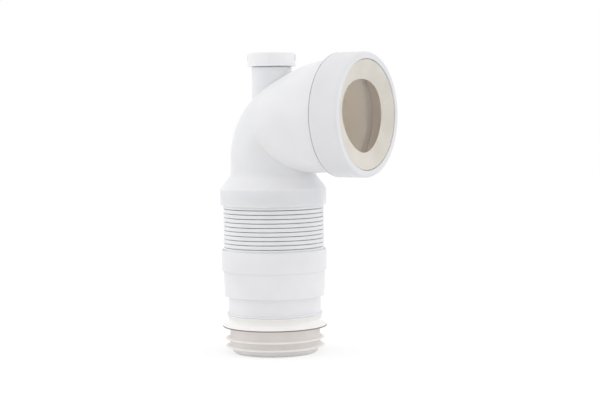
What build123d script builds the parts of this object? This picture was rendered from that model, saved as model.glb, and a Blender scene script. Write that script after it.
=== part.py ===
from build123d import *
import os
from math import ceil

# Toilet pan connector: a 90 degree bend on a flexible bellows, with a capped vent boss.
# Sizes are in mm. Z is the outlet axis, with zero at the end of the outlet.
# X is the way the pan socket faces.

# Walls and clearances
wall = 3.0                     # moulded pipe wall
snug_gap = 0.1                 # between pieces pushed together for good
bellows_gap = 0.4              # round the bellows, inside and outside
seat_gap = 0.2                 # between a piece that moves and its seat
edge_round = 0.6               # small outer edges
round_share = 0.45             # most of a wall's thickness that the round on its edge may take

# Outlet spigot
bore_diameter = 83.0           # waterway at the outlet end
tube_diameter = 97.4
tube_length = 17.2
flange_diameter = 101.0        # thin rim above the outlet seal
flange_thickness = 2.0
stop_step = 2.0                # ring below the flange, in from its edge, that stops the seal
stop_length = 2.3
sleeve_step = 2.0              # how far the lower sleeve lies inside the upper one
sleeve_taper = 0.8             # how far it narrows to its bottom edge
sleeve_length = 25.8
sleeve_foot_round = 1.2
socket_length = 23.5           # upper sleeve, which holds the bellows
socket_wall = 2.1
socket_lip_round = 0.8

# Outlet seal
seal_length = 38.5
seal_wall = 3.1
nose_length = 6.0              # solid end of the seal, under the end of the spigot
nose_step = 2.4                # nose in from the body
nose_foot = 2.2                # width of the flat ring that it stands on
nose_lead_in = 2.4             # height of the bevel round the foot
lower_fin_reach = 4.8          # a fin's edge, out from the body
upper_fin_reach = 7.3
lower_fin_tip = 0.8            # height of a fin's edge
upper_fin_tip = 1.4
fin_hollow_share = 0.8         # share of a fin's slope that its underside follows
lower_fin_height = 6.5         # underside of a fin's edge, above the outlet end
middle_fin_height = 14.8
upper_fin_height = 27.4
lower_fin_slope = 1.5          # how far a fin drops from the body to its edge
upper_fin_slope = 4.2
rim_step = 1.7                 # bead round the top of the seal, out from the body
rim_thickness = 2.8

# Bellows
bellows_diameter = 106.0
bellows_wall = 1.3
bellows_crest_wall = 2.0       # across the flat top of a rib
bellows_flange = 2.5
exposed_length = 46.8          # between the sleeve and the skirt
rib_pitch = 4.5
groove_width = 0.8
rib_overlap = 5.4              # the ribs run on this far inside the skirt and the sleeve

# Elbow
skirt_length = 17.6
skirt_wall = 2.6
skirt_corner_round = 1.5
pocket_depth = 15.5            # room for the bellows cuff above the skirt's lip
drip_length = 12.0             # inner spout, from the pocket's roof down
neck_diameter = 89.0
neck_round = 12.0
shoulder_height = 15.0
crotch_radius = 2.0            # inside corner of the bend
flare_back = 4.0               # the flare starts this far behind the outlet axis, inside the bend
flare_inset = 4.0              # and this much smaller than the neck
flare_start_drop = 16.0        # its centre there, below the pan axis
flare_middle_x = 40.0
flare_middle_drop = 5.0
flare_growth = 10.0            # radius of the flare at its middle, more than the neck's
socket_run = 37.3              # from the end of the bend to the collar

# Pan socket, seal and collar
pan_bore_diameter = 110.0
pan_seal_wall = 2.6
bell_inset = 6.0               # from the back of the collar to the step inside the bell
collar_length = 32.5
collar_clearance = 12.0        # lowest edge of the collar above the corner of the skirt
collar_wall = 3.1
collar_back_lip = 2.4
collar_front_lip = 3.0
collar_window_diameter = 113.6
collar_front_round = 2.6
collar_edge_round = 0.8
seam_inset = 0.5               # groove round the collar, in from its back edge
seam_width = 0.8
seam_depth = 1.2
seal_flange_thickness = 3.0
seal_face_recess = 1.0         # seal's face below the front of the collar
face_gap = 0.5                 # round the seal's face, inside the collar's lip
lip_diameter = 76.6            # hole that stretches over the pan's outlet
lip_thickness = 2.6
lip_depth = 7.0                # how far the conical face falls towards the hole
seal_face_rim = 1.5

# Vent boss, washer and cap
boss_diameter = 41.9
boss_bore_diameter = 34.0
boss_rise = 61.3               # rim of the boss above the pan axis
thread_depth = 1.15
thread_length = 10.4
washer_thickness = 2.0
cap_gap = 0.35                 # between the thread's crest and the cap
cap_wall = 3.3
cap_roof = 2.4
cap_skirt = 9.6                # cap's edge below the rim of the boss
cap_top_round = 2.0
band_height = 3.2
band_depth = 0.8
band_chamfer = 0.6
grip_count = 4
grip_width = 2.2
grip_depth = 1.1
grip_height = 7.0
grip_turn = 24.0               # first grip rib, degrees round from X

# Radii about the outlet axis
bore_r = bore_diameter / 2
spigot_r = bore_r + wall
tube_r = tube_diameter / 2
seal_r = spigot_r + snug_gap + seal_wall
nose_r = seal_r - nose_step
rim_r = seal_r + rim_step
lower_fin_r = seal_r + lower_fin_reach
upper_fin_r = seal_r + upper_fin_reach
stop_r = flange_diameter / 2 - stop_step
neck_r = neck_diameter / 2
neck_bore_r = neck_r - wall
flare_r = neck_r + flare_growth
bend_radius = neck_r + crotch_radius
cuff_bore_r = neck_r + bellows_gap
root_r = cuff_bore_r + bellows_wall
crest_r = bellows_diameter / 2
inner_crest_r = crest_r - bellows_crest_wall
pocket_r = crest_r + bellows_gap
skirt_r = pocket_r + skirt_wall
socket_r = pocket_r + socket_wall
sleeve_r = socket_r - sleeve_step
sleeve_foot_r = sleeve_r - sleeve_taper
boss_r = boss_diameter / 2
thread_root_r = boss_r - thread_depth
cap_bore_r = boss_r + cap_gap
cap_r = cap_bore_r + cap_wall

# Radii about the pan axis
pan_bore_r = pan_bore_diameter / 2
pan_pipe_r = pan_bore_r + wall
pan_seal_r = pan_bore_r + pan_seal_wall
bell_bore_r = pan_seal_r + snug_gap
bell_r = bell_bore_r + wall
collar_bore_r = bell_r + snug_gap
collar_r = collar_bore_r + collar_wall
window_r = collar_window_diameter / 2
lip_r = lip_diameter / 2

# Heights along the outlet axis
seal_top_z = seal_length - snug_gap
flange_z = seal_length + stop_length
tube_z = flange_z + flange_thickness
sleeve_z = tube_z + tube_length
socket_z = sleeve_z + sleeve_length
ledge_z = socket_z + wall
sleeve_top_z = socket_z + socket_length
skirt_z = sleeve_top_z + exposed_length
pocket_z = skirt_z + pocket_depth
shoulder_z = skirt_z + skirt_length
neck_z = shoulder_z + shoulder_height
pan_z = shoulder_z + collar_clearance + collar_r
bend_z = pan_z - bend_radius
boss_rim_z = pan_z + boss_rise
cap_z = boss_rim_z - cap_skirt
washer_z = boss_rim_z + seat_gap
cap_roof_z = washer_z + washer_thickness + seat_gap

# Stations along the pan axis
collar_x = bend_radius + socket_run
collar_front_x = collar_x + collar_length
seam_x = collar_x + seam_inset
bell_back_x = collar_x + collar_back_lip + snug_gap
bell_step_x = collar_x + bell_inset
front_lip_x = collar_front_x - collar_front_lip
bell_mouth_x = front_lip_x - seal_flange_thickness - snug_gap
seal_face_x = collar_front_x - seal_face_recess
lip_x = seal_face_x - lip_depth

pan_axis = Axis((0, 0, pan_z), (1, 0, 0))
bend_start = Plane.XY.offset(bend_z)
flare_start = Plane(origin=(-flare_back, 0, pan_z - flare_start_drop), z_dir=(1, 0, 0))
flare_middle = Plane(origin=(flare_middle_x, 0, pan_z - flare_middle_drop), z_dir=(1, 0, 0))
flare_end = Plane(origin=(collar_x, 0, pan_z), z_dir=(1, 0, 0))


def about_pan(x, radius):
    return (x, pan_z + radius)


def corner(sketch, radius, height):
    return sketch.vertices().sort_by_distance((radius, height))[0]


os.makedirs("parts", exist_ok=True)

# Outlet spigot: a stepped tube, open at both ends, that widens from the outlet to the sleeve
with BuildPart() as outlet_spigot:
    with BuildSketch(Plane.XZ) as section:
        with BuildLine():
            Polyline(
                (bore_r, nose_length + snug_gap),
                (spigot_r, nose_length + snug_gap),
                (spigot_r, seal_length),
                (stop_r, seal_length),
                (stop_r, flange_z),
                (flange_diameter / 2, flange_z),
                (flange_diameter / 2, tube_z),
                (tube_r, tube_z),
                (tube_r, sleeve_z),
                (sleeve_foot_r, sleeve_z),
                (sleeve_r, socket_z),
                (socket_r, socket_z + sleeve_step),
                (socket_r, sleeve_top_z),
                (pocket_r, sleeve_top_z),
                (pocket_r, ledge_z),
                (sleeve_r - wall, ledge_z),
                (sleeve_foot_r - wall, sleeve_z + wall),
                (tube_r - wall, sleeve_z + wall),
                (tube_r - wall, tube_z + wall),
                (bore_r, tube_z),
                close=True,
            )
        make_face()
        fillet(corner(section, sleeve_foot_r, sleeve_z), sleeve_foot_round)
        fillet(corner(section, flange_diameter / 2, flange_z), edge_round)
        fillet(corner(section, flange_diameter / 2, tube_z), edge_round)
    revolve(axis=Axis.Z)
    mouth = outlet_spigot.edges().group_by(Axis.Z)[-1]
    fillet(mouth, min(socket_lip_round, round_share * socket_wall))
outlet_spigot.part.label = "outlet_spigot"
export_step(outlet_spigot.part, "parts/outlet_spigot.step")

# Outlet seal: a sleeve over the end of the spigot, with three fins that hang outwards
with BuildPart() as outlet_seal:
    fins = (
        (lower_fin_r, lower_fin_height, lower_fin_slope, lower_fin_tip),
        (lower_fin_r, middle_fin_height, lower_fin_slope, lower_fin_tip),
        (upper_fin_r, upper_fin_height, upper_fin_slope, upper_fin_tip),
    )
    fin_outline = []
    for fin_r, height, slope, tip in fins:
        fin_outline += [
            (seal_r, height + fin_hollow_share * slope),
            (fin_r, height),
            (fin_r, height + tip),
            (seal_r, height + tip + slope),
        ]
    with BuildSketch(Plane.XZ):
        with BuildLine():
            Polyline(
                (bore_r, 0),
                (bore_r + nose_foot, 0),
                (nose_r, nose_lead_in),
                (nose_r, lower_fin_height),
                *fin_outline,
                (seal_r, seal_top_z - rim_thickness),
                (rim_r, seal_top_z - rim_thickness),
                (rim_r, seal_top_z),
                (spigot_r + snug_gap, seal_top_z),
                (spigot_r + snug_gap, nose_length),
                (bore_r, nose_length),
                close=True,
            )
        make_face()
    revolve(axis=Axis.Z)
outlet_seal.part.label = "outlet_seal"
export_step(outlet_seal.part, "parts/outlet_seal.step")

# Bellows: flat-crested ribs folded close, between a flange at the bottom and a cuff at the top
with BuildPart() as bellows:
    folds = ceil((exposed_length + 2 * rib_overlap) / rib_pitch)
    ribs_top_z = skirt_z + rib_overlap
    ribs_z = ribs_top_z - folds * rib_pitch
    bellows_z = ledge_z + seat_gap
    outside = [(root_r, ribs_z)]
    inside = [(cuff_bore_r, ribs_z)]
    for fold in range(folds):
        low = ribs_z + fold * rib_pitch
        high = low + rib_pitch
        outside += [
            (crest_r, low + groove_width / 2),
            (crest_r, high - groove_width / 2),
            (root_r, high),
        ]
        inside += [(inner_crest_r, (low + high) / 2), (cuff_bore_r, high)]
    with BuildSketch(Plane.XZ):
        with BuildLine():
            Polyline(
                (cuff_bore_r, bellows_z),
                (crest_r, bellows_z),
                (crest_r, bellows_z + bellows_flange),
                (root_r, bellows_z + bellows_flange),
                *outside,
                (root_r, pocket_z - seat_gap),
                (cuff_bore_r, pocket_z - seat_gap),
                *reversed(inside),
                close=True,
            )
        make_face()
    revolve(axis=Axis.Z)
bellows.part.label = "bellows"
export_step(bellows.part, "parts/bellows.step")

# Elbow: skirt, shoulder and neck, a tight bend, a flare that widens to the pan socket, and the vent boss
with BuildPart() as elbow:
    with BuildSketch(Plane.XZ) as foot:
        with BuildLine():
            Polyline(
                (0, skirt_z),
                (skirt_r, skirt_z),
                (skirt_r, shoulder_z),
                (neck_r, neck_z),
                (neck_r, bend_z),
                (0, bend_z),
                close=True,
            )
        make_face()
        fillet(corner(foot, skirt_r, skirt_z), edge_round)
        fillet(corner(foot, skirt_r, shoulder_z), skirt_corner_round)
        fillet(corner(foot, neck_r, neck_z), neck_round)
    revolve(axis=Axis.Z)
    with BuildLine(Plane.XZ) as centre_line:
        CenterArc((bend_radius, bend_z), bend_radius, 180, -90)
    with BuildSketch(bend_start):
        Circle(neck_r)
    sweep(path=centre_line.line)
    with BuildSketch(flare_start):
        Circle(neck_r - flare_inset)
    with BuildSketch(flare_middle):
        Circle(flare_r)
    with BuildSketch(flare_end):
        Circle(pan_pipe_r)
    loft()
    with BuildSketch(flare_end):
        Circle(pan_pipe_r)
    extrude(amount=bell_back_x - collar_x)
    with BuildSketch(flare_end.offset(bell_back_x - collar_x)):
        Circle(bell_r)
    extrude(amount=bell_mouth_x - bell_back_x)
    with BuildSketch(Plane.XY.offset(pan_z)):
        Circle(boss_r)
    extrude(amount=boss_rise - thread_length)
    with BuildSketch(Plane.XY.offset(pan_z)):
        Circle(thread_root_r)
    extrude(amount=boss_rise)
    boss_rim = elbow.edges().filter_by(GeomType.CIRCLE).sort_by_distance((0, 0, boss_rim_z))[0]
    fillet(boss_rim, edge_round)
    # The waterway: pocket round the inner spout, neck, bend, pan socket and vent
    with BuildSketch(Plane.XZ):
        with BuildLine():
            Polyline(
                (0, skirt_z),
                (pocket_r, skirt_z),
                (pocket_r, pocket_z),
                (neck_r, pocket_z),
                (neck_r, pocket_z - drip_length),
                (neck_bore_r, pocket_z - drip_length),
                (neck_bore_r, bend_z),
                (0, bend_z),
                close=True,
            )
        make_face()
    revolve(axis=Axis.Z, mode=Mode.SUBTRACT)
    with BuildSketch(bend_start):
        Circle(neck_bore_r)
    sweep(path=centre_line.line, mode=Mode.SUBTRACT)
    with BuildSketch(flare_start):
        Circle(neck_bore_r - flare_inset)
    with BuildSketch(flare_middle):
        Circle(flare_r - wall)
    with BuildSketch(flare_end):
        Circle(pan_bore_r)
    loft(mode=Mode.SUBTRACT)
    with BuildSketch(flare_end):
        Circle(pan_bore_r)
    extrude(amount=bell_mouth_x - collar_x, mode=Mode.SUBTRACT)
    with BuildSketch(flare_end.offset(bell_step_x - collar_x)):
        Circle(bell_bore_r)
    extrude(amount=bell_mouth_x - bell_step_x, mode=Mode.SUBTRACT)
    with BuildSketch(Plane.XY.offset(pan_z)):
        Circle(boss_bore_diameter / 2)
    extrude(amount=boss_rise, mode=Mode.SUBTRACT)
elbow.part.label = "elbow"
export_step(elbow.part, "parts/elbow.step")

# Pan collar: a ring with a lip at each end, snapped over the bell
with BuildPart() as pan_collar:
    with BuildSketch(Plane.XZ):
        with BuildLine():
            Polyline(
                about_pan(collar_x, pan_pipe_r + snug_gap),
                about_pan(collar_x, collar_r),
                about_pan(seam_x, collar_r),
                about_pan(seam_x, collar_r - seam_depth),
                about_pan(seam_x + seam_width, collar_r - seam_depth),
                about_pan(seam_x + seam_width, collar_r),
                about_pan(collar_front_x, collar_r),
                about_pan(collar_front_x, window_r),
                about_pan(front_lip_x, window_r),
                about_pan(front_lip_x, collar_bore_r),
                about_pan(collar_x + collar_back_lip, collar_bore_r),
                about_pan(collar_x + collar_back_lip, pan_pipe_r + snug_gap),
                close=True,
            )
        make_face()
    revolve(axis=pan_axis)
    front_edges = pan_collar.edges().group_by(Axis.X)[-1]
    fillet(front_edges.sort_by(SortBy.RADIUS)[-1], collar_front_round)
    fillet(front_edges.sort_by(SortBy.RADIUS)[0], collar_edge_round)
pan_collar.part.label = "pan_collar"
export_step(pan_collar.part, "parts/pan_collar.step")

# Pan seal: a sleeve in the bell, a flange under the collar's lip, and a conical lip
with BuildPart() as pan_seal:
    with BuildSketch(Plane.XZ):
        with BuildLine():
            Polyline(
                about_pan(bell_step_x + snug_gap, pan_bore_r),
                about_pan(bell_step_x + snug_gap, pan_seal_r),
                about_pan(bell_mouth_x + snug_gap, pan_seal_r),
                about_pan(bell_mouth_x + snug_gap, bell_r),
                about_pan(front_lip_x, bell_r),
                about_pan(front_lip_x, window_r - face_gap),
                about_pan(seal_face_x, window_r - face_gap),
                about_pan(seal_face_x, window_r - seal_face_rim),
                about_pan(lip_x, lip_r),
                about_pan(lip_x - lip_thickness, lip_r),
                about_pan(seal_face_x - lip_thickness, pan_bore_r),
                close=True,
            )
        make_face()
    revolve(axis=pan_axis)
pan_seal.part.label = "pan_seal"
export_step(pan_seal.part, "parts/pan_seal.step")

# Vent washer: a flat disc on the rim of the boss
with BuildPart() as vent_washer:
    with BuildSketch(Plane.XY.offset(washer_z)):
        Circle(cap_bore_r - cap_gap)
    extrude(amount=washer_thickness)
vent_washer.part.label = "vent_washer"
export_step(vent_washer.part, "parts/vent_washer.step")

# Vent cap: a cup with a thicker band round its edge and four short grip ribs
with BuildPart() as vent_cap:
    cap_height = cap_roof_z + cap_roof - cap_z
    with BuildSketch(Plane.XY.offset(cap_z)):
        Circle(cap_r)
    extrude(amount=cap_height)
    fillet(vent_cap.edges().group_by(Axis.Z)[-1], cap_top_round)
    with BuildSketch(Plane.XY.offset(cap_z)):
        Circle(cap_r + band_depth)
    extrude(amount=band_height)
    chamfer(vent_cap.edges().group_by(Axis.Z)[0], band_chamfer)
    with BuildSketch(Plane.XY.offset(cap_z + cap_height - cap_top_round - grip_height)):
        with PolarLocations(cap_r, grip_count, start_angle=grip_turn):
            Rectangle(2 * grip_depth, grip_width)
    extrude(amount=grip_height)
    with BuildSketch(Plane.XY.offset(cap_z)):
        Circle(cap_bore_r)
    extrude(amount=cap_roof_z - cap_z, mode=Mode.SUBTRACT)
vent_cap.part.label = "vent_cap"
export_step(vent_cap.part, "parts/vent_cap.step")
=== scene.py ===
import math

import bmesh
import bpy
from mathutils import Matrix, Vector


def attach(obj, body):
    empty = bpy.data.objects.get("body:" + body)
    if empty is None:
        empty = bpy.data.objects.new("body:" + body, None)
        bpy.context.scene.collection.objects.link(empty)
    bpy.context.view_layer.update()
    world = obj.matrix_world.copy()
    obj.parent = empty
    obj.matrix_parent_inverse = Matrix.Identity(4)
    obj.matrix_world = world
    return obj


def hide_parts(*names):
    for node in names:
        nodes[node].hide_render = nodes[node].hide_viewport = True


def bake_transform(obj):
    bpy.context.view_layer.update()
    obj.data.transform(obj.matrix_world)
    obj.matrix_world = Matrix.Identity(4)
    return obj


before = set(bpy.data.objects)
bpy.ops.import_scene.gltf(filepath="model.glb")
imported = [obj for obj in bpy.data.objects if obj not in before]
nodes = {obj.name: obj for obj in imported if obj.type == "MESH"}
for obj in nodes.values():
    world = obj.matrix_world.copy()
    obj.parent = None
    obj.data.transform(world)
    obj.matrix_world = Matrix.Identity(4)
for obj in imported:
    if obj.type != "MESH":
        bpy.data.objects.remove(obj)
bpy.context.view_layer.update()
mm = 0.001
panHeight = 249.6 * mm     # pan axis above the outlet end
print("frame loaded:", ", ".join(sorted(nodes)))


def linear(hexColour):
    # sRGB hex to the linear colour that Blender works in
    channels = [int(hexColour[i:i + 2], 16) / 255 for i in (1, 3, 5)]
    return [c / 12.92 if c <= 0.04045 else ((c + 0.055) / 1.055) ** 2.4 for c in channels] + [1.0]


def addNode(tree, kind, settings=(), links=()):
    # settings go by property, socket name or socket number, and links by socket name or number
    node = tree.nodes.new(kind)
    for key, value in dict(settings).items():
        if isinstance(key, str) and hasattr(node, key):
            setattr(node, key, value)
        else:
            node.inputs[key].default_value = value
    for key, source in dict(links).items():
        tree.links.new(source, node.inputs[key])
    return node


# Finishes: one dictionary for each, then the nodes that they share
# Injection-moulded polypropylene: clean white, satin, with faint clouds and a fine grain
polypropylene = {
    "light": "#F2F2F4", "dark": "#ECECEF", "cloudMm": 45, "rough": (0.34, 0.46), "patchMm": 12,
    "grainMm": 0.9, "grainDepthMm": 0.03, "ior": 1.49, "specular": 0.5,
}
finishes = {
    "mouldedPolypropylene": polypropylene,
    # In the bend: light comes through the wall, and the waterway's inner faces are painted paler and
    # warmer, painted light for that glow
    "translucentPolypropylene": {
        **polypropylene, "depth": 0.8, "depthMm": 5.0, "depthColour": (1.0, 0.92, 0.84),
        "innerPaintedLight": {
            "colour": "#FFF2EA", "withinMm": 60, "facingMm": (25, 35),
            "bendMm": 46.5, "bendHeightMm": 203.1, "boreMm": 43,
        },
    },
    # In the collar: a greyer copy of the same plastic, painted shade
    "shadedPolypropylene": {**polypropylene, "light": "#E9E9EC", "dark": "#E4E4E7"},
    # In the cap: a brighter copy of the same plastic, painted light
    "litPolypropylene": {**polypropylene, "light": "#F7F7F9", "dark": "#F3F3F6"},
    # Blow-moulded polypropylene: thinner and a little greyer, with a waxier surface
    "blownPolypropylene": {
        "light": "#F1F2F4", "dark": "#E9EAED", "cloudMm": 30, "rough": (0.40, 0.52), "patchMm": 9,
        "grainMm": 1.1, "grainDepthMm": 0.03, "ior": 1.49, "specular": 0.5,
        "depth": 0.2, "depthMm": 1.5, "depthColour": (1.0, 0.94, 0.88),
    },
    # Moulded thermoplastic rubber: off-white with a warm cast, matt, with a dusty bloom
    "creamElastomer": {
        "light": "#EDE8E5", "dark": "#E6E0DC", "cloudMm": 22, "rough": (0.55, 0.72), "patchMm": 7,
        "grainMm": 0.8, "grainDepthMm": 0.05, "ior": 1.50, "specular": 0.4,
        "depth": 0.25, "depthMm": 2.0, "depthColour": (1.0, 0.92, 0.85),
        # thin rubber is painted paler here, painted light for the light that comes through it, and the top
        # fin's edge is drawn darker grey; each row goes over those before it
        "bands": (
            {"colour": "#FDFBF9", "radiusMm": (48.5, 51.5), "heightMm": (0, 41)},          # fins
            {"colour": "#FEFCFA", "radiusMm": (40, 41), "heightMm": (28.85, 41)},          # above the fins
            {"colour": "#F4F3EF", "radiusMm": (48.6, 48.8), "heightMm": (35.7, 39.5)},     # rim
            {"colour": "#FCF9F6", "radiusMm": (40, 41), "heightMm": (0, 6.2)},             # foot
            {"colour": "#8E8681", "radiusMm": (54.3, 54.7), "heightMm": (27.2, 28.9)},     # cut edge
        ),
    },
    # The same rubber in the pan socket: a darker, yellower batch
    "darkCreamElastomer": {
        "light": "#E3DFD7", "dark": "#DAD5CB", "cloudMm": 26, "rough": (0.55, 0.72), "patchMm": 7,
        "grainMm": 0.8, "grainDepthMm": 0.05, "ior": 1.50, "specular": 0.4,
        "depth": 0.4, "depthMm": 3.0, "depthColour": (1.0, 0.92, 0.82),
        # its inner faces are painted paler and warmer: painted light inside the socket
        "innerPaintedLight": {"colour": "#FFF6E8", "withinMm": 60, "facingMm": (25, 35)},
    },
    # Die-cut sheet rubber: near black, dull, with grey talc patches
    "blackSheetRubber": {
        "light": "#2E2E2F", "dark": "#1C1C1D", "cloudMm": 8, "rough": (0.65, 0.85), "patchMm": 3,
        "grainMm": 0.5, "grainDepthMm": 0.05, "ior": 1.52, "specular": 0.4,
    },
}
noiseRange = {"From Min": 0.3, "From Max": 0.7}     # most values of a noise lie here
noiseDetail = {"cloud": 3.0, "patch": 4.0, "grain": 2.0}
grainStrength = 0.35


def addBands(tree, place, colour, bands):
    # rings of another colour about the outlet axis, past a radius and between two heights; on the seal they
    # are painted light and a darker fin edge
    flat = addNode(tree, "ShaderNodeVectorMath", {"operation": "MULTIPLY", 1: (1, 1, 0)}, {0: place})
    radius = addNode(tree, "ShaderNodeVectorMath", {"operation": "LENGTH"}, {0: flat.outputs[0]})
    height = addNode(tree, "ShaderNodeSeparateXYZ", links={0: place})
    for band in bands:
        (inner, outer), (low, high) = band["radiusMm"], band["heightMm"]
        past = addNode(
            tree, "ShaderNodeMapRange", {"From Min": inner * mm, "From Max": outer * mm},
            {"Value": radius.outputs["Value"]},
        )
        between = addNode(
            tree, "ShaderNodeMath",
            {"operation": "COMPARE", 1: (low + high) / 2 * mm, 2: (high - low) / 2 * mm},
            {0: height.outputs["Z"]},
        )
        share = addNode(
            tree, "ShaderNodeMath", {"operation": "MULTIPLY"},
            {0: past.outputs["Result"], 1: between.outputs[0]},
        )
        mix = addNode(
            tree, "ShaderNodeMix", {"data_type": "RGBA", 7: linear(band["colour"])},
            {0: share.outputs[0], 6: colour},
        )
        colour = mix.outputs[2]
    return colour


def addInnerPaintedLight(tree, place, colour, innerPaintedLight):
    # painted light: a paler, warmer colour on the faces that look in at the pan axis, and inside the bend
    # and neck, for the light inside the waterway
    least, most = innerPaintedLight["facingMm"]
    arm = addNode(
        tree, "ShaderNodeVectorMath", {"operation": "SUBTRACT", 1: (0, 0, panHeight)}, {0: place},
    )
    arm = addNode(
        tree, "ShaderNodeVectorMath", {"operation": "MULTIPLY", 1: (0, 1, 1)}, {0: arm.outputs[0]},
    )
    normal = addNode(tree, "ShaderNodeTexCoord").outputs["Normal"]
    outward = addNode(
        tree, "ShaderNodeVectorMath", {"operation": "DOT_PRODUCT"}, {0: normal, 1: arm.outputs[0]},
    )
    inward = addNode(
        tree, "ShaderNodeMapRange", {"From Min": -least * mm, "From Max": -most * mm},
        {"Value": outward.outputs["Value"]},
    )
    away = addNode(tree, "ShaderNodeVectorMath", {"operation": "LENGTH"}, {0: arm.outputs[0]})
    near = addNode(
        tree, "ShaderNodeMath", {"operation": "LESS_THAN", 1: innerPaintedLight["withinMm"] * mm},
        {0: away.outputs["Value"]},
    )
    share = addNode(
        tree, "ShaderNodeMath", {"operation": "MULTIPLY"},
        {0: inward.outputs["Result"], 1: near.outputs[0]},
    )
    if "bendMm" in innerPaintedLight:
        # distance from the centre line, which runs straight up and then round the bend
        bend = innerPaintedLight["bendMm"] * mm
        at = addNode(tree, "ShaderNodeSeparateXYZ", links={0: place}).outputs
        over = addNode(
            tree, "ShaderNodeMath", {"operation": "SUBTRACT", 1: innerPaintedLight["bendHeightMm"] * mm}, {0: at["Z"]},
        )
        over = addNode(tree, "ShaderNodeMath", {"operation": "MAXIMUM", 1: 0.0}, {0: over.outputs[0]})
        along = addNode(tree, "ShaderNodeMath", {"operation": "SUBTRACT", 1: bend}, {0: at["X"]})
        spoke = addNode(tree, "ShaderNodeCombineXYZ", links={0: along.outputs[0], 2: over.outputs[0]})
        spoke = addNode(tree, "ShaderNodeVectorMath", {"operation": "LENGTH"}, {0: spoke.outputs[0]})
        off = addNode(
            tree, "ShaderNodeMath", {"operation": "SUBTRACT", 1: bend}, {0: spoke.outputs["Value"]},
        )
        off = addNode(tree, "ShaderNodeCombineXYZ", links={0: off.outputs[0], 1: at["Y"]})
        off = addNode(tree, "ShaderNodeVectorMath", {"operation": "LENGTH"}, {0: off.outputs[0]})
        within = addNode(
            tree, "ShaderNodeMath", {"operation": "LESS_THAN", 1: innerPaintedLight["boreMm"] * mm},
            {0: off.outputs["Value"]},
        )
        behind = addNode(tree, "ShaderNodeMath", {"operation": "LESS_THAN", 1: 0.0}, {0: along.outputs[0]})
        bore = addNode(
            tree, "ShaderNodeMath", {"operation": "MULTIPLY"}, {0: within.outputs[0], 1: behind.outputs[0]},
        )
        share = addNode(
            tree, "ShaderNodeMath", {"operation": "MAXIMUM"}, {0: share.outputs[0], 1: bore.outputs[0]},
        )
    mix = addNode(
        tree, "ShaderNodeMix", {"data_type": "RGBA", 7: linear(innerPaintedLight["colour"])},
        {0: share.outputs[0], 6: colour},
    )
    return mix.outputs[2]


def makeFinish(name, look):
    material = bpy.data.materials.new(name)
    material.use_nodes = True
    tree = material.node_tree
    shader = tree.nodes["Principled BSDF"]
    place = addNode(tree, "ShaderNodeTexCoord").outputs["Object"]
    # the real grain is finer than a pixel, so it is drawn coarser here
    noises = {
        kind: addNode(
            tree, "ShaderNodeTexNoise", {"Scale": 1 / (look[kind + "Mm"] * mm), "Detail": detail},
            {"Vector": place},
        ).outputs["Fac"]
        for kind, detail in noiseDetail.items()
    }
    tone = addNode(tree, "ShaderNodeMapRange", noiseRange, {"Value": noises["cloud"]})
    colour = addNode(
        tree, "ShaderNodeMix",
        {"data_type": "RGBA", 6: linear(look["light"]), 7: linear(look["dark"])},
        {0: tone.outputs["Result"]},
    ).outputs[2]
    # bands paint light on thin rubber and draw the top fin's edge darker; the inner colour paints light
    # inside the waterway
    if "bands" in look:
        colour = addBands(tree, place, colour, look["bands"])
    if "innerPaintedLight" in look:
        colour = addInnerPaintedLight(tree, place, colour, look["innerPaintedLight"])
    least, most = look["rough"]
    rough = addNode(
        tree, "ShaderNodeMapRange", {**noiseRange, "To Min": least, "To Max": most},
        {"Value": noises["patch"]},
    )
    bump = addNode(
        tree, "ShaderNodeBump", {"Strength": grainStrength, "Distance": look["grainDepthMm"] * mm},
        {"Height": noises["grain"]},
    )
    shader.inputs["IOR"].default_value = look["ior"]
    shader.inputs["Specular IOR Level"].default_value = look["specular"]
    if "depth" in look:
        # light that goes through the wall comes out warmer
        shader.inputs["Subsurface Weight"].default_value = look["depth"]
        shader.inputs["Subsurface Scale"].default_value = look["depthMm"] * mm
        shader.inputs["Subsurface Radius"].default_value = look["depthColour"]
    tree.links.new(colour, shader.inputs["Base Color"])
    tree.links.new(rough.outputs["Result"], shader.inputs["Roughness"])
    tree.links.new(bump.outputs["Normal"], shader.inputs["Normal"])
    return material


materials = {name: makeFinish(name, look) for name, look in finishes.items()}
print("finishes made:", len(materials))

# A finish for each CAD node, also for the three that finer pieces replace below
nodeFinishes = {
    "elbow": "translucentPolypropylene",
    "outlet_spigot": "mouldedPolypropylene",
    "pan_collar": "shadedPolypropylene",
    "vent_cap": "litPolypropylene",
    "vent_washer": "blackSheetRubber",
    "outlet_seal": "creamElastomer",
    "pan_seal": "darkCreamElastomer",
    "bellows": "blownPolypropylene",
}
for name, finish in nodeFinishes.items():
    mesh = nodes[name].data
    mesh.materials.clear()
    mesh.materials.append(materials[finish])
print("CAD nodes finished:", len(nodeFinishes))

# Shared by the turned pieces
sharpAngle = math.radians(40)     # edges that turn by more keep their crease
cornerShare = 0.48                # the most of an edge that the round at one end takes


def link(name, mesh):
    piece = bpy.data.objects.new(name, mesh)
    bpy.context.scene.collection.objects.link(piece)
    return piece


def smooth(mesh):
    mesh.shade_smooth()
    mesh.set_sharp_from_angle(angle=sharpAngle)


def roundCorners(profile, steps=4):
    # profile is a closed loop of (radius, height, corner round)
    outline = []
    for i, (x, y, size) in enumerate(profile):
        here = Vector((x, y))
        before = Vector(profile[i - 1][:2]) - here
        after = Vector(profile[(i + 1) % len(profile)][:2]) - here
        if size <= 0:
            outline.append(here)
            continue
        half = before.angle(after) / 2
        reach = min(size / math.tan(half), cornerShare * before.length, cornerShare * after.length)
        start = here + before.normalized() * reach
        end = here + after.normalized() * reach
        for k in range(steps + 1):
            t = k / steps
            outline.append(start * (1 - t) ** 2 + here * 2 * t * (1 - t) + end * t ** 2)
    return outline


def aboutOutlet(angle, radius, height):
    return (radius * math.cos(angle), radius * math.sin(angle), height)


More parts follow.
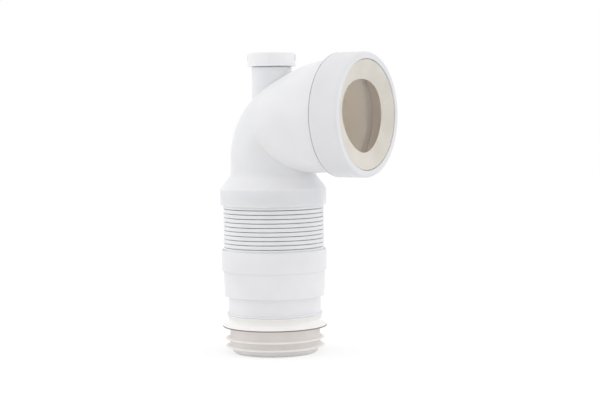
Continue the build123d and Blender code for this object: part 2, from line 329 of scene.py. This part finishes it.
def addRings(body, outline, steps, place, closed):
    # turns an outline of (radius, height) in mm: place(angle, radius, height) gives each point
    rings = []
    for k in range(steps):
        angle = 2 * math.pi * k / steps
        rings.append([body.verts.new(place(angle, radius * mm, height * mm)) for radius, height in outline])
    for k, ring in enumerate(rings):
        following = rings[(k + 1) % steps]
        for i in range(len(ring) if closed else len(ring) - 1):
            j = (i + 1) % len(ring)
            body.faces.new((ring[i], ring[j], following[j], following[i]))


def turned(name, outline, steps, place, finish):
    body = bmesh.new()
    addRings(body, outline, steps, place, closed=True)
    bmesh.ops.recalc_face_normals(body, faces=body.faces)
    mesh = bpy.data.meshes.new(name)
    body.to_mesh(mesh)
    body.free()
    smooth(mesh)
    mesh.materials.append(materials[finish])
    return link(name, mesh)


# Outlet seal: a rubber sleeve with three drooping fins and a thin beaded lip on top, in mm
outletSeal = {
    "steps": 160, "bore": 41.5, "foot": 43.7, "nose": 45.3, "leadIn": 2.4, "noseLength": 6.0,
    "body": 47.7, "seat": 44.6, "rim": 49.4, "rimHeight": 35.6, "top": 38.4,
    "lap": 48.6, "lapTop": 40.6, "bead": 50.3, "beadHeight": 39.5, "hollow": 0.8,
    # edge radius, height of the underside, droop and thickness of the edge
    "fins": ((52.5, 6.5, 1.5, 0.8), (52.5, 14.8, 1.5, 0.8), (55.0, 27.4, 4.2, 1.4)),
    "boreRound": 0.5, "footRound": 1.2, "noseRound": 1.6, "stepRound": 0.4, "rimRound": 0.9,
    "finRound": 0.6, "finRootRound": 2.4, "beadRound": 0.3, "smallRound": 0.2,
    "tipRound": 0.45,     # as a share of the edge's thickness
}


def makeOutletSeal(plan):
    profile = [
        (plan["bore"], 0, plan["boreRound"]), (plan["foot"], 0, plan["footRound"]),
        (plan["nose"], plan["leadIn"], plan["noseRound"]),
        (plan["nose"], plan["fins"][0][1], plan["stepRound"]),
    ]
    for edge, height, droop, tip in plan["fins"]:
        profile += [
            (plan["body"], height + plan["hollow"] * droop, plan["finRound"]),
            (edge, height, plan["tipRound"] * tip),
            (edge, height + tip, plan["tipRound"] * tip),
            (plan["body"], height + tip + droop, plan["finRootRound"]),
        ]
    profile += [
        (plan["body"], plan["rimHeight"], plan["stepRound"]),
        (plan["rim"], plan["rimHeight"], plan["rimRound"]),
        # the lip and its bead lap the spigot's stop ring
        (plan["rim"], plan["beadHeight"], plan["smallRound"]),
        (plan["bead"], plan["beadHeight"], plan["beadRound"]),
        (plan["bead"], plan["lapTop"], plan["beadRound"]),
        (plan["lap"], plan["lapTop"], plan["smallRound"]),
        (plan["lap"], plan["top"], 0), (plan["seat"], plan["top"], plan["smallRound"]),
        (plan["seat"], plan["noseLength"], plan["smallRound"]),
        (plan["bore"], plan["noseLength"], plan["boreRound"]),
    ]
    seal = turned("outletSeal", roundCorners(profile), plan["steps"], aboutOutlet, "creamElastomer")
    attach(seal, "outlet")
    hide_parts("outlet_seal")


makeOutletSeal(outletSeal)

# Pan seal: a sleeve in the socket, and a conical lip whose soft hole has settled out of round, in mm
panSeal = {
    "steps": 160, "bore": 55.0, "sleeve": 57.6, "flange": 60.7, "window": 56.3, "faceRim": 55.3,
    "lip": 38.8, "back": 89.9, "flangeBack": 110.3, "flangeFront": 113.3, "face": 115.3,
    "lipFront": 108.7, "lipBack": 107.2, "coneBack": 112.7, "softStarts": 52.0,
    "sleeveRound": 0.4, "flangeRound": 0.3, "windowRound": 0.6, "rimRound": 1.5, "lipRound": 0.7,
    "coneRound": 2.0,
    # hole: how far it sits to one side, then an oval and an egg shape, each with its size
    # and its angle from the bottom
    "aside": 2.0, "oval": (1.7, 72), "egg": (1.2, 10),
}


def makePanSeal(plan):
    profile = [
        (plan["bore"], plan["back"], plan["sleeveRound"]),
        (plan["sleeve"], plan["back"], plan["sleeveRound"]), (plan["sleeve"], plan["flangeBack"], 0),
        (plan["flange"], plan["flangeBack"], plan["flangeRound"]),
        (plan["flange"], plan["flangeFront"], plan["flangeRound"]),
        (plan["window"], plan["flangeFront"], 0), (plan["window"], plan["face"], plan["windowRound"]),
        (plan["faceRim"], plan["face"], plan["rimRound"]),
        (plan["lip"], plan["lipFront"], plan["lipRound"]), (plan["lip"], plan["lipBack"], plan["lipRound"]),
        (plan["bore"], plan["coneBack"], plan["coneRound"]),
    ]
    lip, softStarts = plan["lip"] * mm, plan["softStarts"] * mm

    def aboutPan(angle, radius, station):
        # angle 0 is the bottom
        share = min(1, max(0, (softStarts - radius) / (softStarts - lip))) * mm
        for folds, (size, turn) in ((2, plan["oval"]), (3, plan["egg"])):
            radius += share * size * math.cos(folds * (angle - math.radians(turn)))
        across = radius * math.sin(angle) + share * plan["aside"]
        return (station, across, panHeight - radius * math.cos(angle))

    seal = turned("panSeal", roundCorners(profile), plan["steps"], aboutPan, "darkCreamElastomer")
    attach(seal, "elbow")
    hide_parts("pan_seal")


makePanSeal(panSeal)
print("seals made")

# Bellows: one rib drawn in Geometry Nodes, turned about the outlet axis and stacked, in mm.
# It is in four pieces, split between ribs: three below, and one on top
bellows = {
    "rib": {
        "Pitch": 4.5, "Crest Radius": 53.0, "Root Radius": 46.2, "Inner Crest Radius": 51.0,
        "Bore Radius": 44.9, "Groove Width": 0.8, "Corner Round": 0.45,
    },
    "steps": 144, "cornerPoints": 3, "first": 94.0, "bottom": 89.0, "flange": 2.5, "top": 171.4,
    # ribs in each of the lower pieces, from the bottom up, and in the piece on top
    "stretches": {"bellowsFoot": 1, "bellowsMiddle": 10, "bellowsHead": 1}, "bendingRibs": 3,
    "stiffTop": 3,        # the bend ends this far below the top of the last rib
    "ribMerge": 0.01, "rimMerge": 0.02,
}


def makeRibTree(plan):
    tree = bpy.data.node_groups.new("bellowsRibs", "GeometryNodeTree")
    tree.interface.new_socket("Geometry", in_out="OUTPUT", socket_type="NodeSocketGeometry")
    for name in ("Ribs", "Steps"):
        tree.interface.new_socket(name, in_out="INPUT", socket_type="NodeSocketInt")
    for name in ("First Height", *plan["rib"]):
        tree.interface.new_socket(name, in_out="INPUT", socket_type="NodeSocketFloat")
    tree.interface.new_socket("Material", in_out="INPUT", socket_type="NodeSocketMaterial")
    size = addNode(tree, "NodeGroupInput").outputs
    pitch, root, crest, bore = (
        size[name] for name in ("Pitch", "Root Radius", "Crest Radius", "Bore Radius")
    )
    index = addNode(tree, "GeometryNodeInputIndex").outputs[0]
    path = addNode(
        tree, "GeometryNodeCurvePrimitiveCircle", links={"Resolution": size["Steps"], "Radius": root},
    )
    halfGroove = addNode(
        tree, "ShaderNodeMath", {"operation": "MULTIPLY", 1: 0.5}, {0: size["Groove Width"]},
    ).outputs[0]
    highGroove = addNode(
        tree, "ShaderNodeMath", {"operation": "SUBTRACT"}, {0: pitch, 1: halfGroove},
    ).outputs[0]
    halfPitch = addNode(tree, "ShaderNodeMath", {"operation": "MULTIPLY", 1: 0.5}, {0: pitch}).outputs[0]
    # radii and heights of the outer and the inner skin, where None is height 0
    skins = (
        ((root, crest, crest, root), (None, halfGroove, highGroove, pitch)),
        ((bore, size["Inner Crest Radius"], bore), (None, halfPitch, pitch)),
    )
    join = addNode(tree, "GeometryNodeJoinGeometry")
    for radii, heights in skins:
        picks = []
        for values in (radii, heights):
            pick = addNode(tree, "GeometryNodeIndexSwitch", {"data_type": "FLOAT"}, {"Index": index})
            while len(pick.index_switch_items) < len(values):
                pick.index_switch_items.new()
            for item, value in enumerate(values):
                if value:
                    tree.links.new(value, pick.inputs[item + 1])
            picks.append(pick.outputs[0])
        offset = addNode(tree, "ShaderNodeMath", {"operation": "SUBTRACT"}, {0: picks[0], 1: root})
        drop = addNode(tree, "ShaderNodeMath", {"operation": "MULTIPLY", 1: -1.0}, {0: picks[1]})
        point = addNode(tree, "ShaderNodeCombineXYZ", links={0: offset.outputs[0], 1: drop.outputs[0]})
        line = addNode(tree, "GeometryNodeMeshLine", {"Count": len(radii)})
        bent = addNode(
            tree, "GeometryNodeSetPosition",
            links={"Geometry": line.outputs[0], "Position": point.outputs[0]},
        )
        curve = addNode(tree, "GeometryNodeMeshToCurve", links={0: bent.outputs[0]})
        soft = addNode(
            tree, "GeometryNodeFilletCurve",
            {"mode": "POLY", "Count": plan["cornerPoints"], "Limit Radius": True},
            {"Curve": curve.outputs[0], "Radius": size["Corner Round"]},
        )
        skin = addNode(
            tree, "GeometryNodeCurveToMesh",
            links={"Curve": path.outputs[0], "Profile Curve": soft.outputs[0]},
        )
        tree.links.new(skin.outputs[0], join.inputs[0])
    start = addNode(tree, "ShaderNodeCombineXYZ", links={2: size["First Height"]})
    step = addNode(tree, "ShaderNodeCombineXYZ", links={2: pitch})
    stack = addNode(
        tree, "GeometryNodeMeshLine",
        links={"Count": size["Ribs"], "Start Location": start.outputs[0], "Offset": step.outputs[0]},
    )
    ribs = addNode(
        tree, "GeometryNodeInstanceOnPoints",
        links={"Points": stack.outputs[0], "Instance": join.outputs[0]},
    )
    real = addNode(tree, "GeometryNodeRealizeInstances", links={0: ribs.outputs[0]})
    merged = addNode(
        tree, "GeometryNodeMergeByDistance", {"Distance": plan["ribMerge"] * mm}, {0: real.outputs[0]},
    )
    named = addNode(
        tree, "GeometryNodeSetMaterial",
        links={"Geometry": merged.outputs[0], "Material": size["Material"]},
    )
    addNode(tree, "NodeGroupOutput", links={0: named.outputs[0]})
    return tree


def nodesToMesh(name, tree, values):
    # runs a tree on an empty object and keeps its result as a plain mesh
    piece = link(name, bpy.data.meshes.new(name + "Start"))
    modifier = piece.modifiers.new("nodes", "NODES")
    modifier.node_group = tree
    for item in tree.interface.items_tree:
        if item.in_out == "INPUT" and item.name in values:
            modifier[item.identifier] = values[item.name]
    ready = piece.evaluated_get(bpy.context.evaluated_depsgraph_get())
    mesh = bpy.data.meshes.new_from_object(ready)
    # the tree leaves an empty first slot, which faces that are added later would take
    mesh.materials.clear()
    mesh.materials.append(values["Material"])
    piece.modifiers.remove(modifier)
    piece.data = mesh
    return piece


def closeEnds(piece, ends, plan):
    # adds turned end strips whose rims meet the ribs' rims
    body = bmesh.new()
    body.from_mesh(piece.data)
    for strip in ends:
        addRings(body, strip, plan["steps"], aboutOutlet, closed=False)
    bmesh.ops.remove_doubles(body, verts=body.verts, dist=plan["rimMerge"] * mm)
    bmesh.ops.recalc_face_normals(body, faces=body.faces)
    openEdges = sum(1 for edge in body.edges if edge.is_boundary)
    body.to_mesh(piece.data)
    body.free()
    smooth(piece.data)
    print(piece.name, "open edges:", openEdges, "faces:", len(piece.data.polygons))


def makeBellows(plan):
    rib, first, bottom, top = (plan[name] for name in ("rib", "first", "bottom", "top"))
    pitch, root, crest, bore = (
        rib[name] for name in ("Pitch", "Root Radius", "Crest Radius", "Bore Radius")
    )
    tree = makeRibTree(plan)
    values = {name: value * mm for name, value in rib.items()}
    values.update({"Steps": plan["steps"], "Material": materials["blownPolypropylene"]})

    flangeTop = bottom + plan["flange"]
    lowEnd = [
        (bore, first), (bore, bottom), (crest, bottom),
        (crest, flangeTop), (root, flangeTop), (root, first),
    ]
    low, below = first, 0
    for name, ribs in plan["stretches"].items():
        piece = nodesToMesh(name, tree, {**values, "Ribs": ribs, "First Height": low * mm})
        high = low + ribs * pitch
        rim = [(root, high), (bore, high)]
        closeEnds(piece, (lowEnd, rim), plan)
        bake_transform(piece)
        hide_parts("bellows")
        low, lowEnd, below = high, rim, below + ribs

    ribs = plan["bendingRibs"]
    last = low + ribs * pitch
    cuff = [(root, last), (root, top), (bore, top), (bore, last)]
    upper = nodesToMesh("bellowsUpper", tree, {**values, "Ribs": ribs, "First Height": low * mm})
    closeEnds(upper, (lowEnd, cuff), plan)
    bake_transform(upper)
    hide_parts("bellows")


makeBellows(bellows)
print("bellows made")

# Thread on the vent boss: a ridge that follows a spiral, in mm, seen when the cap is off its seat
ventThread = {
    "ridge": {
        "Turns": 3.7, "Pitch": 2.309, "Start Height": 301.4, "Root Radius": 19.72, "Crest Radius": 20.95,
        "Root Width": 1.9, "Crest Width": 0.5,
    },
    "pointsPerTurn": 72,
    # at each end the ridge fades over this share of its length, to this share of its size
    "fadeLength": 0.04, "fadeSize": 0.15,
}


def makeVentThread(plan):
    tree = bpy.data.node_groups.new("ventThread", "GeometryNodeTree")
    tree.interface.new_socket("Geometry", in_out="OUTPUT", socket_type="NodeSocketGeometry")
    for name in plan["ridge"]:
        tree.interface.new_socket(name, in_out="INPUT", socket_type="NodeSocketFloat")
    tree.interface.new_socket("Material", in_out="INPUT", socket_type="NodeSocketMaterial")
    size = addNode(tree, "NodeGroupInput").outputs
    root = size["Root Radius"]
    rise = addNode(tree, "ShaderNodeMath", {"operation": "MULTIPLY"}, {0: size["Turns"], 1: size["Pitch"]})
    path = addNode(
        tree, "GeometryNodeCurveSpiral", {"Resolution": plan["pointsPerTurn"]},
        {"Rotations": size["Turns"], "Start Radius": root, "End Radius": root, "Height": rise.outputs[0]},
    )
    level = addNode(tree, "GeometryNodeSetCurveNormal", {"mode": "Z_UP"}, {0: path.outputs[0]})
    depth = addNode(tree, "ShaderNodeMath", {"operation": "SUBTRACT"}, {0: size["Crest Radius"], 1: root})
    profile = addNode(
        tree, "GeometryNodeCurvePrimitiveQuadrilateral", {"mode": "TRAPEZOID", "Offset": 0.0},
        {"Bottom Width": size["Root Width"], "Top Width": size["Crest Width"], "Height": depth.outputs[0]},
    )
    # the profile's x axis points in at the boss
    halfDepth = addNode(tree, "ShaderNodeMath", {"operation": "MULTIPLY", 1: -0.5}, {0: depth.outputs[0]})
    outward = addNode(tree, "ShaderNodeCombineXYZ", links={0: halfDepth.outputs[0]})
    profile = addNode(
        tree, "GeometryNodeTransform", {"Rotation": (0, 0, math.pi / 2)},
        {"Geometry": profile.outputs[0], "Translation": outward.outputs[0]},
    )
    along = addNode(tree, "GeometryNodeSplineParameter").outputs["Factor"]
    fromEnd = addNode(tree, "ShaderNodeMath", {"operation": "PINGPONG", 1: 0.5}, {0: along})
    fade = addNode(
        tree, "ShaderNodeMapRange", {"From Max": plan["fadeLength"], "To Min": plan["fadeSize"]},
        {"Value": fromEnd.outputs[0]},
    )
    ridge = addNode(
        tree, "GeometryNodeCurveToMesh", {"Fill Caps": True},
        {"Curve": level.outputs[0], "Profile Curve": profile.outputs[0], "Scale": fade.outputs[0]},
    )
    lift = addNode(tree, "ShaderNodeCombineXYZ", links={2: size["Start Height"]})
    placed = addNode(
        tree, "GeometryNodeTransform", links={"Geometry": ridge.outputs[0], "Translation": lift.outputs[0]},
    )
    real = addNode(tree, "GeometryNodeRealizeInstances", links={0: placed.outputs[0]})
    named = addNode(
        tree, "GeometryNodeSetMaterial", links={"Geometry": real.outputs[0], "Material": size["Material"]},
    )
    addNode(tree, "NodeGroupOutput", links={0: named.outputs[0]})
    values = {name: value if name == "Turns" else value * mm for name, value in plan["ridge"].items()}
    thread = nodesToMesh("ventThread", tree, {**values, "Material": materials["translucentPolypropylene"]})
    radii = [math.hypot(v.co.x, v.co.y) / mm for v in thread.data.vertices]
    print("thread radius from", round(min(radii), 2), "to", round(max(radii), 2))
    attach(thread, "elbow")


makeVentThread(ventThread)
print("thread made")

# Camera at the photograph's place: heading round Z from the front, tilt down, roll, all in degrees
cameraPlan = {
    "azimuth": 32.31, "elevation": 3.3, "roll": -0.73, "lens": 90, "sensor": 36, "clipEnd": 20,
    "distance": 1585.6 * mm, "target": (0, 0, 154 * mm),
    "targetPixel": (273.5, 206.36), "image": (600, 400),     # where the target shows in the image
}


def makeCamera(plan):
    azimuth, elevation, roll = (math.radians(plan[key]) for key in ("azimuth", "elevation", "roll"))
    back = Vector((
        math.sin(azimuth) * math.cos(elevation),
        -math.cos(azimuth) * math.cos(elevation),
        math.sin(elevation),
    ))
    level = Vector((math.cos(azimuth), math.sin(azimuth), 0))
    upright = back.cross(level)
    right = level * math.cos(roll) + upright * math.sin(roll)
    up = upright * math.cos(roll) - level * math.sin(roll)
    width, height = plan["image"]
    focal = plan["lens"] / plan["sensor"] * width
    across = (plan["targetPixel"][0] - width / 2) / focal * plan["distance"]
    above = -(plan["targetPixel"][1] - height / 2) / focal * plan["distance"]
    position = Vector(plan["target"]) - right * across - up * above + back * plan["distance"]
    camera = bpy.data.objects.new("camera", bpy.data.cameras.new("camera"))
    camera.data.lens = plan["lens"]
    camera.data.sensor_width = plan["sensor"]
    camera.data.clip_end = plan["clipEnd"]
    turn = Matrix((right, up, back)).transposed().to_4x4()
    camera.matrix_world = Matrix.Translation(position) @ turn
    bpy.context.scene.collection.objects.link(camera)
    bpy.context.scene.camera = camera


makeCamera(cameraPlan)

# Light: a soft white dome, brightest at the two sides, that looks plain white to the camera
dome = {
    "colour": "#FFFFFF", "level": 1.58, "overhead": -0.27, "dimEnds": 0.89, "front": (0.53, -0.85, 0.0),
    "seen": 1.0,
}


def makeDome(plan):
    world = bpy.data.worlds.new("dome")
    bpy.context.scene.world = world
    world.use_nodes = True
    tree = world.node_tree
    white = linear(plan["colour"])
    direction = addNode(tree, "ShaderNodeTexCoord").outputs["Generated"]
    height = addNode(tree, "ShaderNodeSeparateXYZ", links={0: direction}).outputs["Z"]
    raised = addNode(
        tree, "ShaderNodeMapRange", {"To Min": plan["level"], "To Max": plan["level"] + plan["overhead"]},
        {"Value": height},
    )
    facing = addNode(
        tree, "ShaderNodeVectorMath", {"operation": "DOT_PRODUCT", 1: plan["front"]}, {0: direction},
    )
    towards = addNode(tree, "ShaderNodeMath", {"operation": "ABSOLUTE"}, {0: facing.outputs["Value"]})
    dim = addNode(tree, "ShaderNodeMapRange", {"To Max": plan["dimEnds"]}, {"Value": towards.outputs[0]})
    level = addNode(
        tree, "ShaderNodeMath", {"operation": "SUBTRACT"},
        {0: raised.outputs["Result"], 1: dim.outputs["Result"]},
    )
    glow = addNode(tree, "ShaderNodeBackground", {"Color": white}, {"Strength": level.outputs[0]})
    plain = addNode(tree, "ShaderNodeBackground", {"Color": white, "Strength": plan["seen"]})
    ray = addNode(tree, "ShaderNodeLightPath").outputs
    seen = addNode(
        tree, "ShaderNodeMath", {"operation": "MAXIMUM"},
        {0: ray["Is Camera Ray"], 1: ray["Is Glossy Ray"]},
    )
    seen = addNode(
        tree, "ShaderNodeMath", {"operation": "MAXIMUM"},
        {0: seen.outputs[0], 1: ray["Is Transmission Ray"]},
    )
    mix = addNode(
        tree, "ShaderNodeMixShader", links={0: seen.outputs[0], 1: glow.outputs[0], 2: plain.outputs[0]},
    )
    tree.links.new(mix.outputs[0], tree.nodes["World Output"].inputs["Surface"])


makeDome(dome)

# Floor: pale, and white to the camera except where the part shades it
floorPlan = {
    "side": 8.0, "colour": "#F2F2F2",
    "seen": 0.35, "lift": 0.68,     # to the camera: a grey that takes the shadow, and a glow over it
}


def makeFloor(plan):
    half = plan["side"] / 2
    corners = [(-half, -half, 0), (half, -half, 0), (half, half, 0), (-half, half, 0)]
    mesh = bpy.data.meshes.new("floor")
    mesh.from_pydata(corners, [], [(0, 1, 2, 3)])
    floor = link("floor", mesh)
    material = bpy.data.materials.new("paleFloor")
    material.use_nodes = True
    tree = material.node_tree
    tree.nodes.clear()
    matt = addNode(tree, "ShaderNodeBsdfDiffuse", {"Color": linear(plan["colour"])})
    seenMatt = addNode(tree, "ShaderNodeBsdfDiffuse", {"Color": [plan["seen"]] * 3 + [1.0]})
    lift = addNode(tree, "ShaderNodeEmission", {"Strength": plan["lift"]})
    both = addNode(tree, "ShaderNodeAddShader", links={0: seenMatt.outputs[0], 1: lift.outputs[0]})
    ray = addNode(tree, "ShaderNodeLightPath").outputs
    seen = addNode(
        tree, "ShaderNodeMath", {"operation": "MAXIMUM"},
        {0: ray["Is Camera Ray"], 1: ray["Is Glossy Ray"]},
    )
    mix = addNode(
        tree, "ShaderNodeMixShader", links={0: seen.outputs[0], 1: matt.outputs[0], 2: both.outputs[0]},
    )
    addNode(tree, "ShaderNodeOutputMaterial", links={"Surface": mix.outputs[0]})
    mesh.materials.append(material)


makeFloor(floorPlan)
print("camera, dome and floor made")

bpy.context.scene.view_settings.view_transform = "Standard"
